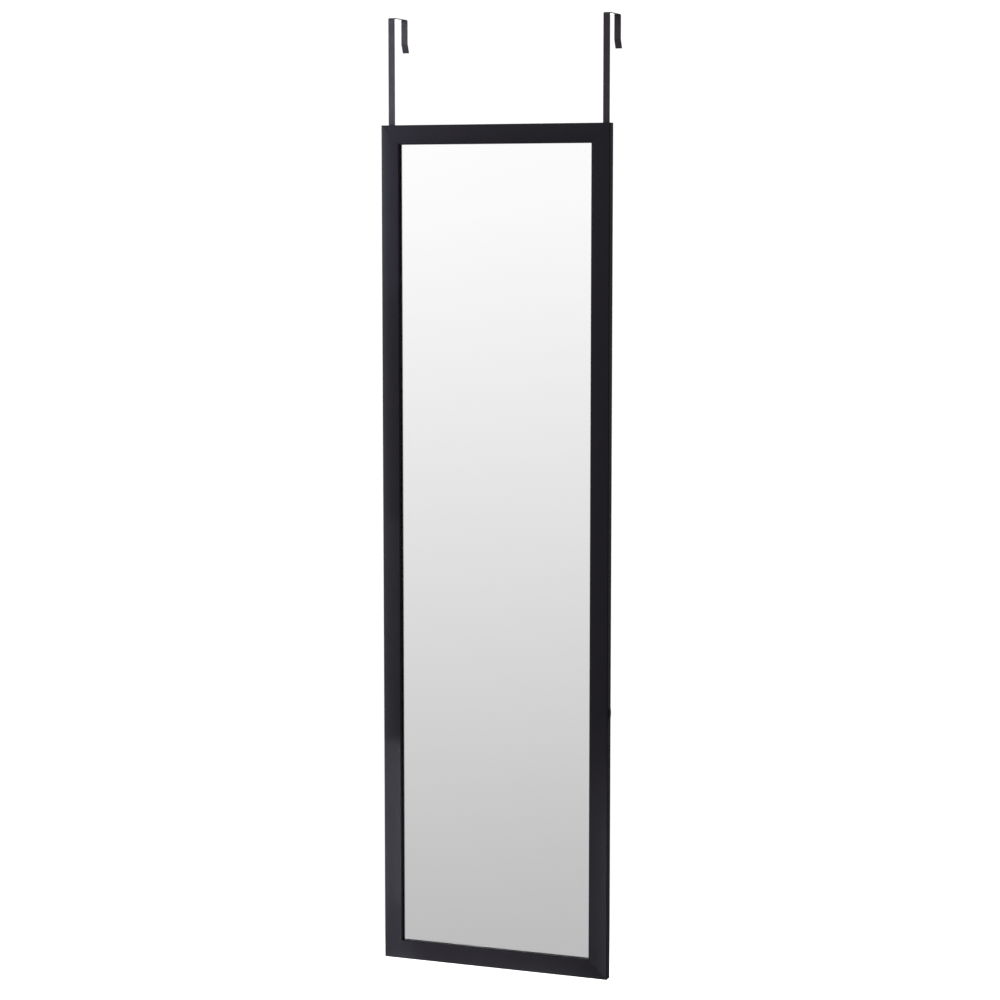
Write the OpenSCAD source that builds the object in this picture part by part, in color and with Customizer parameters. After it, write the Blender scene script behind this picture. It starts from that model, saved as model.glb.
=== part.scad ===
// Over the door mirror: a tall framed mirror that hangs from two flat steel hooks.
// +Z is up and the mirror faces -Y. The origin is on the front top edge of the door, midway between the hooks,
// so the door fills y > 0, z < 0. All sizes are in millimetres.

/* [Frame] */
// Width over the outer edges of the frame
frame_w = 362; // [300:1:450]
// Height over the outer edges of the frame
frame_h = 1276; // [1000:1:1700]
// Distance from the top of the door down to the top edge of the frame
frame_drop = 158; // [140:1:240]
// Width of the moulding, seen from the front
face_w = 29; // [27:0.5:40]
// Depth of the moulding at the middle of its face
frame_d = 15; // [15:0.5:20]
// How far the face falls from its middle to its two edges
crown = 0.6; // [0.3:0.1:1.2]
// Radius of the outer front edge
edge_r = 1.5; // [1:0.25:4]
// Bevel on the inner front edge
lip_bevel = 1; // [0.4:0.1:1.5]
// Depth of the glass below the middle of the face
lip_d = 5; // [4:0.25:6]
// Width of the rabbet that holds the glass
rabbet_w = 7; // [5:0.5:8]
// Gap between the back of the frame and the door
back_gap = 5; // [5:0.5:10]

/* [Glass and back] */
// Thickness of the glass
glass_t = 3; // [2:0.5:3]
// Thickness of the silvering and its paint
coat_t = 0.2; // [0.1:0.05:0.3]
// Thickness of the cushion sheet
cushion_t = 2.5; // [1.5:0.5:2.5]
// Thickness of the back board
board_t = 2.5; // [1.5:0.5:2.5]
// Room between the glass and the rabbet at each side
glass_room = 0.8; // [0.5:0.1:1.5]

/* [Hooks] */
// Width of the steel strap
strap_w = 10; // [8:0.5:12]
// Thickness of the steel strap
strap_t = 1.5; // [1:0.25:2]
// Middle of a strap, in from the outer edge of the frame
strap_inset = 11; // [8:0.5:12]
// Opening between the two legs of a hook
door_gap = 48; // [40:1:60]
// Height of the leg behind the door
rear_leg = 49.5; // [40:0.5:80]
// Length of the toe at the end of that leg
toe_l = 14; // [8:1:20]
// Angle of the toe away from the door
toe_angle = 24; // [0:1:35]
// Inner radius of the bends
bend_r = 1.5; // [1:0.25:3]
// Length of strap behind the frame
tail_l = 112; // [104:1:130]
// How far the mirror can be set up or down from its place
travel = 20; // [5:1:20]

/* [Fasteners] */
// Distance between the two screws of a hook
screw_pitch = 40; // [30:1:44]
// Diameter of a screw's shank
screw_d = 3.5; // [3:0.1:4]
// Length of a screw below its head
screw_l = 13; // [9:0.5:14]
// Diameter of a screw's head
head_d = 7.4; // [6.5:0.1:8]
// Outer diameter of a washer
washer_d = 9; // [8:0.5:10]
// Board points along each stile
stile_points = 5; // [3:1:8]
// Board points along each rail
rail_points = 2; // [1:1:3]

/* [Plugs and bumpers] */
// Height of a side plug's head
plug_h = 16; // [12:1:20]
// Depth of a side plug's head
plug_w = 9; // [7:0.5:10]
// How far a side plug stands out of the frame
plug_out = 1; // [0.6:0.1:2]
// Distance from the top of the frame down to the side plugs
plug_drop = 871; // [600:1:950]
// Diameter of a door bumper
bumper_d = 14; // [10:1:16]
// Height of a door bumper above the bottom edge of the frame
bumper_rise = 40; // [30:1:100]

/* [Hidden] */

$fn = 64;
frame_colour = [0.16, 0.155, 0.17];
hook_colour = [0.3, 0.29, 0.33];
steel_colour = [0.66, 0.67, 0.69];

// Places of the frame and of what it holds
frame_top = -frame_drop;
frame_bottom = frame_top - frame_h;
frame_rear = -back_gap;
side_x = frame_w / 2;
rabbet_d = frame_d - lip_d;
rabbet_x = side_x - face_w + rabbet_w;
pane_w = 2 * (rabbet_x - glass_room);
pane_bottom = frame_bottom + face_w - rabbet_w;
pane_h = frame_h - 2 * (face_w - rabbet_w) - 2 * glass_room;
glass_front = frame_rear - rabbet_d;
coat_front = glass_front + glass_t;
cushion_front = coat_front + coat_t;
board_front = cushion_front + cushion_t;
board_rear = board_front + board_t;

// Face of the moulding: a wide arc, with the outer edge's arc tangent to it
crown_r = (pow(face_w / 2, 2) + pow(crown, 2)) / (2 * crown);
crown_at = [face_w / 2, frame_d - crown_r];
edge_drop = sqrt(pow(crown_r - edge_r, 2) - pow(face_w / 2 - edge_r, 2));
edge_at = [edge_r, crown_at[1] + edge_drop];
meet_at = crown_at + (edge_at - crown_at) * crown_r / (crown_r - edge_r);
crown_fn = 720;

// Corner V nails: two in each mitre, with legs that follow the two members. They are driven in from the back
// and end a little below it, so each leaves an open slit.
nail_leg = 5;
nail_t = 0.6;
nail_l = 7;
nail_sink = 0.4;
nail_places = [6, 13];

// Board points: flat steel, half in the frame and half over the board
point_w = 6;
point_t = 0.5;
point_in = 5;
point_out = 9;
stile_point_pitch = pane_h / stile_points;
rail_point_pitch = pane_w / rail_points;

// Hook straps, and the stack that clamps them to the stiles
strap_x = side_x - strap_inset;
strap_room = 0.15;
strap_front = frame_rear + strap_room;
strap_rear = strap_front + strap_t;
rear_leg_at = strap_rear + door_gap;
leg_bottom = strap_t - rear_leg;
// The toe's bend runs this many degrees on into its straight end, so that the two are one solid.
bend_overlap = 2;
toe_top = leg_bottom + toe_l * cos(toe_angle) + (bend_r + strap_t) * sin(toe_angle);
tail_bottom = frame_top - tail_l;
slot_room = 0.4;
slot_w = screw_d + 2 * slot_room;
screw_top = frame_top - 36;
screw_places = [screw_top, screw_top - screw_pitch];
washer_room = 0.1;
washer_t = 0.8;
washer_bore = screw_d + 0.6;
head_h = 1.9;
head_edge = 0.5;
head_at = strap_rear + washer_room + washer_t;
tip_l = 3;
recess_w = 1.1;
recess_l = 4.2;
recess_d = 1.1;

// Side plugs: a low arched head and a stem in the side of the stile
plug_z = frame_top - plug_drop;
plug_y = frame_rear - 5.5;
plug_edge = 0.3;
plug_arch = plug_out - plug_edge;
plug_arch_r = (pow(plug_h / 2, 2) + pow(plug_arch, 2)) / (2 * plug_arch);
stem_d = 6;
stem_l = 8;

// Door bumpers: soft discs with a bevelled foot
bumper_x = side_x - 11;
bumper_z = frame_bottom + bumper_rise;
bumper_bevel = 1;

// Cross-section of the moulding. x runs inwards from the outer edge and y from the back to the face.
module moulding_section() {
    difference() {
        intersection() {
            square([face_w, frame_d]);
            translate(crown_at)
                circle(r = crown_r, $fn = crown_fn);
        }
        difference() {
            polygon([edge_at, [-1, edge_at[1]], [-1, frame_d + 1], [meet_at[0], frame_d + 1], meet_at]);
            translate(edge_at)
                circle(r = edge_r);
        }
        translate([face_w - rabbet_w, -1])
            square([rabbet_w + 1, rabbet_d + 1]);
        translate([face_w, frame_d - crown])
            rotate(45)
                square(lip_bevel * sqrt(2), center = true);
    }
}

// One L of sheet steel across a mitre, at that distance from the outer corner, from y = front to y = rear
module v_nail(place, front = -nail_sink - nail_l, rear = -nail_sink) {
    translate([place, rear, place])
        rotate([90, 0, 0])
            linear_extrude(rear - front)
                union() {
                    square([nail_leg, nail_t]);
                    square([nail_t, nail_leg]);
                }
}

// A mitred length of moulding along +Z, with its outer edge at x = 0 and its back at y = 0
module moulding(length) {
    difference() {
        intersection() {
            mirror([0, 1, 0])
                linear_extrude(length)
                    moulding_section();
            translate([0, 1, 0])
                rotate([90, 0, 0])
                    linear_extrude(frame_d + 2)
                        polygon([[0, 0], [face_w, face_w], [face_w, length - face_w], [0, length]]);
        }
        for (place = nail_places) {
            v_nail(place, rear = 1);
            translate([0, 0, length])
                mirror([0, 0, 1])
                    v_nail(place, rear = 1);
        }
    }
}

// A board point that lies along +X: its tip is in the frame at x < 0 and its tail is over the board
module board_point() {
    translate([0, -point_t, 0])
        rotate([-90, 0, 0])
            linear_extrude(point_t)
                polygon([[-point_in, 0], [-point_in / 2, -point_w / 2], [point_out, -point_w / 2],
                         [point_out, point_w / 2], [-point_in / 2, point_w / 2]]);
}

// The row of points along the left stile
module stile_point_row() {
    for (i = [0 : stile_points - 1])
        translate([-rabbet_x, board_rear + point_t, pane_bottom + (i + 0.5) * stile_point_pitch])
            board_point();
}

// The row of points along the bottom rail
module rail_point_row() {
    for (i = [0 : rail_points - 1])
        translate([(i + 0.5) * rail_point_pitch - pane_w / 2, board_rear + point_t, pane_bottom])
            rotate([0, -90, 0])
                board_point();
}

// The row of points along the top rail
module top_point_row() {
    translate([0, 0, frame_top + frame_bottom])
        mirror([0, 0, 1])
            rail_point_row();
}

// The left stile with its two screw holes, its plug hole and its slits for the points
module left_stile() {
    color(frame_colour)
        difference() {
            translate([-side_x, frame_rear, frame_bottom])
                moulding(frame_h);
            for (z = screw_places)
                translate([-strap_x, head_at, z])
                    rotate([90, 0, 0])
                        cylinder(d = screw_d, h = screw_l);
            translate([-side_x - 1, plug_y, plug_z])
                rotate([0, 90, 0])
                    cylinder(d = stem_d, h = stem_l + 1);
            stile_point_row();
        }
}

// A sheet as large as the glass, with its front at y = front
module pane(front, thickness) {
    translate([-pane_w / 2, front, pane_bottom])
        cube([pane_w, thickness, pane_h]);
}

// Part of a flat ring from angle a to angle b, which are less than half a turn apart
module ring_part(inner_r, outer_r, a, b) {
    far = 3 * outer_r;
    intersection() {
        difference() {
            circle(r = outer_r);
            circle(r = inner_r);
        }
        polygon([[0, 0], far * [cos(a), sin(a)], far * [cos((a + b) / 2), sin((a + b) / 2)],
                 far * [cos(b), sin(b)]]);
    }
}

// Side view of a hook above its tail. x is depth towards the door and y is height.
module hook_side() {
    bend_out = bend_r + strap_t;
    translate([strap_front, frame_top])
        square([strap_t, frame_drop - bend_r]);
    translate([strap_rear + bend_r, -bend_r])
        ring_part(bend_r, bend_out, 90, 180);
    translate([strap_rear + bend_r, 0])
        square([door_gap - 2 * bend_r, strap_t]);
    translate([rear_leg_at - bend_r, -bend_r])
        ring_part(bend_r, bend_out, 0, 90);
    translate([rear_leg_at, toe_top])
        square([strap_t, -bend_r - toe_top]);
    translate([rear_leg_at + bend_out, toe_top]) {
        ring_part(bend_r, bend_out, 180, 180 + toe_angle + bend_overlap);
        rotate(toe_angle)
            translate([-bend_out, -toe_l])
                square([strap_t, toe_l]);
    }
}

// The slotted tail behind the stile, seen from the front
module tail_outline() {
    difference() {
        union() {
            translate([-strap_w / 2, tail_bottom + strap_w / 2])
                square([strap_w, tail_l - strap_w / 2]);
            translate([0, tail_bottom + strap_w / 2])
                circle(d = strap_w);
        }
        translate([-slot_w / 2, screw_places[1] - travel])
            square([slot_w, screw_pitch + 2 * travel]);
        translate([0, screw_places[0] + travel])
            circle(d = slot_w);
        translate([0, screw_places[1] - travel])
            circle(d = slot_w);
    }
}

module left_hook() {
    color(hook_colour)
        translate([-strap_x, 0, 0]) {
            translate([-strap_w / 2, 0, 0])
                rotate([90, 0, 90])
                    linear_extrude(strap_w)
                        hook_side();
            translate([0, strap_rear, 0])
                rotate([90, 0, 0])
                    linear_extrude(strap_t)
                        tail_outline();
        }
}

// A pan-head screw that points along +Z, with the underside of its head at z = 0
module screw() {
    difference() {
        union() {
            cylinder(d = screw_d, h = screw_l - tip_l);
            translate([0, 0, screw_l - tip_l])
                cylinder(d1 = screw_d, d2 = 0.6, h = tip_l);
            translate([0, 0, -head_h + head_edge])
                cylinder(d = head_d, h = head_h - head_edge);
            translate([0, 0, -head_h])
                cylinder(d1 = head_d - 2 * head_edge, d2 = head_d, h = head_edge);
        }
        for (turn = [0, 90])
            rotate(turn)
                translate([-recess_l / 2, -recess_w / 2, -head_h - 1])
                    cube([recess_l, recess_w, recess_d + 1]);
    }
}

module left_hook_screws() {
    color(steel_colour)
        for (z = screw_places)
            translate([-strap_x, head_at, z])
                rotate([90, 45, 0])
                    screw();
}

module left_hook_washers() {
    color(steel_colour)
        for (z = screw_places)
            translate([-strap_x, head_at, z])
                rotate([90, 0, 0])
                    difference() {
                        cylinder(d = washer_d, h = washer_t);
                        translate([0, 0, -1])
                            cylinder(d = washer_bore, h = washer_t + 2);
                    }
}

module left_side_plug() {
    color([0.03, 0.03, 0.03])
        translate([-side_x, plug_y, plug_z]) {
            rotate([0, 90, 0])
                cylinder(d = stem_d, h = stem_l);
            translate([-plug_edge, -plug_w / 2, -plug_h / 2])
                cube([plug_edge, plug_w, plug_h]);
            intersection() {
                translate([plug_arch_r - plug_out, plug_w / 2, 0])
                    rotate([90, 0, 0])
                        cylinder(r = plug_arch_r, h = plug_w, $fn = crown_fn);
                translate([-plug_out, -plug_w / 2, -plug_h / 2])
                    cube([plug_arch, plug_w, plug_h]);
            }
        }
}

module left_door_bumper() {
    color([0.1, 0.1, 0.1])
        translate([-bumper_x, frame_rear, bumper_z])
            rotate([-90, 0, 0]) {
                cylinder(d = bumper_d, h = back_gap - bumper_bevel);
                translate([0, 0, back_gap - bumper_bevel])
                    cylinder(d1 = bumper_d, d2 = bumper_d - 2 * bumper_bevel, h = bumper_bevel);
            }
}

module frame_stile_left() {
    left_stile();
}

module frame_stile_right() {
    mirror([1, 0, 0])
        left_stile();
}

module frame_rail_top() {
    color(frame_colour)
        difference() {
            translate([-side_x, frame_rear, frame_top])
                rotate([0, 90, 0])
                    moulding(frame_w);
            top_point_row();
        }
}

module frame_rail_bottom() {
    color(frame_colour)
        difference() {
            translate([side_x, frame_rear, frame_bottom])
                rotate([0, -90, 0])
                    moulding(frame_w);
            rail_point_row();
        }
}

module corner_v_nails() {
    color(steel_colour)
        for (right = [0, 1], top = [0, 1], place = nail_places)
            mirror([right, 0, 0])
                translate([-side_x, frame_rear, top * frame_top + (1 - top) * frame_bottom])
                    mirror([0, 0, top])
                        v_nail(place);
}

module mirror_glass() {
    color([0.85, 0.88, 0.88])
        pane(glass_front, glass_t);
}

module mirror_silvering() {
    color([0.75, 0.76, 0.77])
        pane(coat_front, coat_t);
}

module cushion_sheet() {
    color([0.66, 0.52, 0.36])
        pane(cushion_front, cushion_t);
}

module back_board() {
    color([0.42, 0.3, 0.2])
        pane(board_front, board_t);
}

module board_points() {
    color(steel_colour) {
        stile_point_row();
        mirror([1, 0, 0])
            stile_point_row();
        rail_point_row();
        top_point_row();
    }
}

module side_plug_left() {
    left_side_plug();
}

module side_plug_right() {
    mirror([1, 0, 0])
        left_side_plug();
}

module door_bumper_left() {
    left_door_bumper();
}

module door_bumper_right() {
    mirror([1, 0, 0])
        left_door_bumper();
}

module hook_left() {
    left_hook();
}

module hook_right() {
    mirror([1, 0, 0])
        left_hook();
}

module hook_screws_left() {
    left_hook_screws();
}

module hook_screws_right() {
    mirror([1, 0, 0])
        left_hook_screws();
}

module hook_washers_left() {
    left_hook_washers();
}

module hook_washers_right() {
    mirror([1, 0, 0])
        left_hook_washers();
}

frame_stile_left();
frame_stile_right();
frame_rail_top();
frame_rail_bottom();
corner_v_nails();
mirror_glass();
mirror_silvering();
cushion_sheet();
back_board();
board_points();
side_plug_left();
side_plug_right();
door_bumper_left();
door_bumper_right();
hook_left();
hook_right();
hook_screws_left();
hook_screws_right();
hook_washers_left();
hook_washers_right();
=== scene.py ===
import math

import bmesh
import bpy
from mathutils import Matrix, Vector


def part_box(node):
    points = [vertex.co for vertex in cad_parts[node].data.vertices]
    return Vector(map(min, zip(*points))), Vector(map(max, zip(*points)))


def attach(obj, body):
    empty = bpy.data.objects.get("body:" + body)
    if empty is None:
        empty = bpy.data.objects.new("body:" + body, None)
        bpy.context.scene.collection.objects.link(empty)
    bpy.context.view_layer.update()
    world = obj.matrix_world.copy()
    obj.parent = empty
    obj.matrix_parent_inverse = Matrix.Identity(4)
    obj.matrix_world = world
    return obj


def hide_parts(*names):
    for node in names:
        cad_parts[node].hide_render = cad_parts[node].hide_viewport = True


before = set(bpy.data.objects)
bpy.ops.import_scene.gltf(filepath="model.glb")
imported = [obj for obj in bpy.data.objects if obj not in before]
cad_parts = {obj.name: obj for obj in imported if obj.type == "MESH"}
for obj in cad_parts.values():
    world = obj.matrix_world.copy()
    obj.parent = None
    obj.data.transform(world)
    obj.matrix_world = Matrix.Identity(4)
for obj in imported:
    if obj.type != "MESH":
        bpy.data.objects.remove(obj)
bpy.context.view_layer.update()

print("the packed frame is loaded")

mm = 0.001       # pieces are modelled in millimetres and brought to metres at the end
tiny = 0.001     # mm: points this close count as one
sharpAngle = 40  # degrees between two faces from which their edge is drawn sharp
quarterTurn = math.pi / 2
toTheRight = Matrix.Scale(-1, 4, (1, 0, 0))        # mirrors a left piece to the right
toTheDoor = Matrix.Rotation(-quarterTurn, 4, "X")  # turns what is modelled up +Z to face the door


# Small helpers

def linear(hexColour):
    # an sRGB hex colour as the linear RGBA that a shader takes
    channels = [int(hexColour[i:i + 2], 16) / 255 for i in (0, 2, 4)]
    return [c / 12.92 if c <= 0.04045 else ((c + 0.055) / 1.055) ** 2.4 for c in channels] + [1.0]


def addNode(tree, kind, settings=None, links=None):
    # settings name an input socket (by name or number) or a property of the node; links name an input
    # socket and what feeds it, which is a socket, or a node for its first output
    node = tree.nodes.new(kind)
    for name, value in (settings or {}).items():
        if isinstance(name, int) or name in node.inputs:
            node.inputs[name].default_value = value
        else:
            setattr(node, name, value)
    for name, source in (links or {}).items():
        socket = source.outputs[0] if isinstance(source, bpy.types.Node) else source
        tree.links.new(socket, node.inputs[name])
    return node


def setStops(ramp, stops):
    # stops are (position, RGBA), from left to right
    while len(ramp.elements) > 1:
        ramp.elements.remove(ramp.elements[-1])
    ramp.elements[0].position = stops[0][0]
    ramp.elements[0].color = stops[0][1]
    for position, colour in stops[1:]:
        ramp.elements.new(position).color = colour


def newTree(name):
    material = bpy.data.materials.new(name)
    material.use_nodes = True
    material.node_tree.nodes.clear()
    return material, material.node_tree


def patternSpace(tree, sizes=(1, 1, 1)):
    # object coordinates, counted in a pattern's size in mm along each axis
    place = addNode(tree, "ShaderNodeTexCoord").outputs["Object"]
    scale = [1 / mm / size for size in sizes]
    return addNode(tree, "ShaderNodeMapping", {"Scale": scale}, {"Vector": place})


def dress(nodeName, material):
    # a CAD node whose shape is right keeps it and only gets its finish
    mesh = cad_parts[nodeName].data
    mesh.materials.clear()
    mesh.materials.append(material)


def edgesOf(geom):
    return [g for g in geom if isinstance(g, bmesh.types.BMEdge)]


def vertsOf(geom):
    return [g for g in geom if isinstance(g, bmesh.types.BMVert)]


def wholeOf(bm):
    return list(bm.verts) + list(bm.edges) + list(bm.faces)


def sharpEdges(bm, degrees):
    return [e for e in bm.edges if len(e.link_faces) == 2 and e.calc_face_angle() > math.radians(degrees)]


def bevelEdges(bm, edges, width, segments):
    bmesh.ops.bevel(bm, geom=edges, offset=width, offset_type="OFFSET", segments=segments, profile=0.5,
                    affect="EDGES", clamp_overlap=True, material=-1)


def boxInMm(nodeName):
    low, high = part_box(nodeName)
    return low / mm, high / mm


def nodeCopy(nodeName):
    # a CAD node's mesh in millimetres, merged and with its flats whole again
    bm = bmesh.new()
    bm.from_mesh(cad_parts[nodeName].data)
    bmesh.ops.scale(bm, vec=(1 / mm, 1 / mm, 1 / mm), verts=bm.verts)
    bmesh.ops.remove_doubles(bm, verts=bm.verts, dist=tiny)
    bmesh.ops.dissolve_limit(bm, angle_limit=math.radians(1), verts=bm.verts, edges=bm.edges)
    return bm


def meshInMetres(name, bm):
    bmesh.ops.scale(bm, vec=(mm, mm, mm), verts=bm.verts)
    mesh = bpy.data.meshes.new(name)
    bm.to_mesh(mesh)
    bm.free()
    return mesh


def cutAway(piece, cutter):
    # takes the cutter's shape out of the piece
    tool = bpy.data.objects.new("cutter", cutter)
    bpy.context.scene.collection.objects.link(tool)
    slits = piece.modifiers.new("slits", "BOOLEAN")
    slits.operation = "DIFFERENCE"
    slits.solver = "EXACT"
    slits.object = tool
    whole = piece.data
    cut = piece.evaluated_get(bpy.context.evaluated_depsgraph_get())
    piece.data = bpy.data.meshes.new_from_object(cut)
    piece.modifiers.clear()
    bpy.data.meshes.remove(whole)
    bpy.data.objects.remove(tool)


def makePiece(name, bm, materials, body, nodeName, place=None, cutter=None):
    # finishes a piece that was modelled in millimetres, and puts it in the place of its CAD node
    if place is not None:
        bmesh.ops.transform(bm, matrix=place, verts=bm.verts)
    bmesh.ops.recalc_face_normals(bm, faces=bm.faces)
    for face in bm.faces:
        face.smooth = True
    mesh = meshInMetres(name, bm)
    for material in materials:
        mesh.materials.append(material)
    piece = bpy.data.objects.new(name, mesh)
    bpy.context.scene.collection.objects.link(piece)
    if cutter is not None:
        cutAway(piece, cutter)
    piece.data.set_sharp_from_angle(angle=math.radians(sharpAngle))
    # keeps wide flats flat beside small rounds
    flatFaces = piece.modifiers.new("flatFaces", "WEIGHTED_NORMAL")
    flatFaces.keep_sharp = True
    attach(piece, body)
    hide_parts(nodeName)
    return piece


# Camera, at the photograph's viewing angle

cameraPlace = {
    "position": (1.430, -3.719, -0.289),
    "yaw": 21.0,      # degrees turned from +Y towards -X
    "pitch": 6.14,    # degrees downwards
    "lens": 95.95,
    "sensor": 36.0,
    "clipEnd": 100,
}

cameraData = bpy.data.cameras.new("photoCamera")
cameraData.lens = cameraPlace["lens"]
cameraData.sensor_width = cameraPlace["sensor"]
cameraData.clip_end = cameraPlace["clipEnd"]
camera = bpy.data.objects.new("photoCamera", cameraData)
camera.location = cameraPlace["position"]
camera.rotation_euler = (math.radians(90 - cameraPlace["pitch"]), 0, math.radians(cameraPlace["yaw"]))
bpy.context.scene.collection.objects.link(camera)
bpy.context.scene.camera = camera
bpy.context.scene.view_settings.view_transform = "Standard"
print("camera is set")


# Studio: white for the camera, a soft gradient for whatever reflects it

studio = {
    "diffuseLevel": 0.36,      # what the room gives to matt surfaces
    "backdropLevel": 1.05,     # just over white, so that the picture's edges are white too
    "floorHeight": -2.03,      # the foot of a common door
    "floorSize": 60,
    "floorWhite": "e6e6e6",
    "floorLift": 0.75,         # brings the lit floor to white for the camera, its shadows stay
    # level of the room in a reflection, by the sine of the direction's height
    "wallLevels": [(-1.0, 0.82), (-0.62, 0.76), (-0.46, 0.62), (-0.36, 0.52), (-0.30, 0.49), (-0.24, 0.574),
                   (-0.18, 0.68), (-0.12, 0.785), (-0.05, 0.905), (0.0, 0.99), (0.05, 1.03), (0.5, 1.03),
                   (0.75, 0.4), (1.0, 0.3)],
    # the room's level by degrees from -Y towards +X: a dark stretch right of the mirror's axis
    "darkSide": [(-180, 1.02), (-26, 1.015), (-16, 0.985), (8, 0.98), (14, 0.03), (30, 0.03), (40, 0.22),
                 (60, 0.3), (90, 0.3), (120, 0.18), (170, 0.18), (180, 0.6)],
}


def rayKinds(tree):
    # the light path, and whether a ray comes by way of a reflection or through glass
    ray = addNode(tree, "ShaderNodeLightPath")
    reflected = addNode(tree, "ShaderNodeMath", {"operation": "MAXIMUM"},
                        {0: ray.outputs["Is Glossy Ray"], 1: ray.outputs["Is Transmission Ray"]})
    return ray, reflected


def buildWorld():
    world = bpy.data.worlds.new("studioWorld")
    bpy.context.scene.world = world
    world.use_nodes = True
    tree = world.node_tree
    tree.nodes.clear()
    direction = addNode(tree, "ShaderNodeTexCoord")
    parts = addNode(tree, "ShaderNodeSeparateXYZ", {}, {0: direction.outputs["Generated"]})
    height = addNode(tree, "ShaderNodeMapRange", {"From Min": -1.0, "From Max": 1.0},
                     {"Value": parts.outputs["Z"]})
    wall = addNode(tree, "ShaderNodeValToRGB", {}, {"Fac": height})
    setStops(wall.color_ramp, [((z + 1) / 2, (v, v, v, 1)) for z, v in studio["wallLevels"]])
    front = addNode(tree, "ShaderNodeMath", {"operation": "MULTIPLY", 1: -1.0}, {0: parts.outputs["Y"]})
    turn = addNode(tree, "ShaderNodeMath", {"operation": "ARCTAN2"}, {0: parts.outputs["X"], 1: front})
    around = addNode(tree, "ShaderNodeMapRange", {"From Min": -math.pi, "From Max": math.pi},
                     {"Value": turn})
    side = addNode(tree, "ShaderNodeValToRGB", {}, {"Fac": around})
    setStops(side.color_ramp, [((a + 180) / 360, (v, v, v, 1)) for a, v in studio["darkSide"]])
    room = addNode(tree, "ShaderNodeMix", {"data_type": "RGBA", "blend_type": "MULTIPLY", 0: 1.0},
                   {6: wall, 7: side})
    seenRoom = addNode(tree, "ShaderNodeBackground", {}, {"Color": room.outputs[2]})
    plain = addNode(tree, "ShaderNodeBackground",
                    {"Color": (1, 1, 1, 1), "Strength": studio["diffuseLevel"]})
    white = addNode(tree, "ShaderNodeBackground",
                    {"Color": (1, 1, 1, 1), "Strength": studio["backdropLevel"]})
    ray, reflected = rayKinds(tree)
    lit = addNode(tree, "ShaderNodeMixShader", {}, {0: reflected, 1: plain, 2: seenRoom})
    shown = addNode(tree, "ShaderNodeMixShader", {}, {0: ray.outputs["Is Camera Ray"], 1: lit, 2: white})
    addNode(tree, "ShaderNodeOutputWorld", {}, {"Surface": shown})


def buildFloor():
    bm = bmesh.new()
    bmesh.ops.create_grid(bm, x_segments=1, y_segments=1, size=studio["floorSize"] / 2,
                          matrix=Matrix.Translation((0, 0, studio["floorHeight"])))
    mesh = bpy.data.meshes.new("studioFloor")
    bm.to_mesh(mesh)
    bm.free()
    floor = bpy.data.objects.new("studioFloor", mesh)
    bpy.context.scene.collection.objects.link(floor)
    material, tree = newTree("paintedFloor")
    paint = addNode(tree, "ShaderNodeBsdfDiffuse", {"Color": linear(studio["floorWhite"])})
    glow = addNode(tree, "ShaderNodeEmission", {"Strength": studio["floorLift"]})
    both = addNode(tree, "ShaderNodeAddShader", {}, {0: paint, 1: glow})
    ray, reflected = rayKinds(tree)
    seen = addNode(tree, "ShaderNodeMath", {"operation": "MAXIMUM"},
                   {0: ray.outputs["Is Camera Ray"], 1: reflected})
    shown = addNode(tree, "ShaderNodeMixShader", {}, {0: seen, 1: paint, 2: both})
    addNode(tree, "ShaderNodeOutputMaterial", {}, {"Surface": shown})
    mesh.materials.append(material)
    floor.visible_glossy = False         # the room's gradient is what the mirror shows
    floor.visible_transmission = False


# Soft boxes at the left and below, most of them with narrow beams: each tones one stretch of the frame or
# the hooks as in the photograph. The top panel and the back fill light the views from above and behind.
lamps = {
    # name: position, point it faces, width, height, spread of the beam in degrees, colour, watts
    "leftStrip": ((-0.66, -0.44, -0.72), (-0.28, 0.0, -0.72), 0.30, 1.7, 50, "fafcff", 1.05),
    "upperLeft": ((-0.68, -0.46, -0.12), (-0.22, 0.0, -0.17), 0.46, 0.44, 25, "dfe8ff", 0.147),
    "stileTop": ((-0.44, -0.64, -0.27), (-0.20, 0.0, -0.30), 0.16, 0.25, 12, "b0bcff", 0.0051),
    "hookGlow": ((-0.62, -0.46, -0.03), (-0.19, 0.0, -0.062), 0.2, 0.17, 4, "dfecff", 0.035),
    "middleLeft": ((-0.44, -0.64, -0.91), (-0.20, 0.0, -0.93), 0.16, 0.35, 3, "f8fff6", 0.0085),
    "lowerLeft": ((-0.35, -0.68, -1.167), (-0.20, 0.0, -1.222), 0.26, 0.250, 3, "f8fff6", 0.083),
    "lowerLong": ((-0.35, -0.68, -1.21), (-0.20, 0.0, -1.265), 0.26, 0.336, 3, "f8fff6", 0.110),
    "lowerFront": ((0.0, -0.60, -1.657), (0.0, 0.0, -1.282), 0.58, 0.285, 16, "f8fff6", 0.375),
    "lowerRail": ((-0.10, -0.60, -1.81), (-0.10, 0.0, -1.425), 0.47, 0.035, 16, "f8fff6", 0.126),
    "railCorner": ((-0.183, -0.60, -1.81), (-0.183, 0.0, -1.425), 0.10, 0.05, 4, "f8fff6", 0.013),
    "lipLine": ((-0.26, -0.68, -1.22), (0.0, 0.0, -1.415), 0.42, 0.05, 5, "fbfaff", 0.0028),
    "topPanel": ((-0.25, -0.85, 0.85), (0.0, 0.0, 0.0), 0.9, 0.5, 90, "ffffff", 0.6),
    "backFill": ((-0.9, 2.2, -0.7), (0.0, 0.0, -0.7), 2.0, 1.8, 180, "ffffff", 48.0),
}


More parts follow.
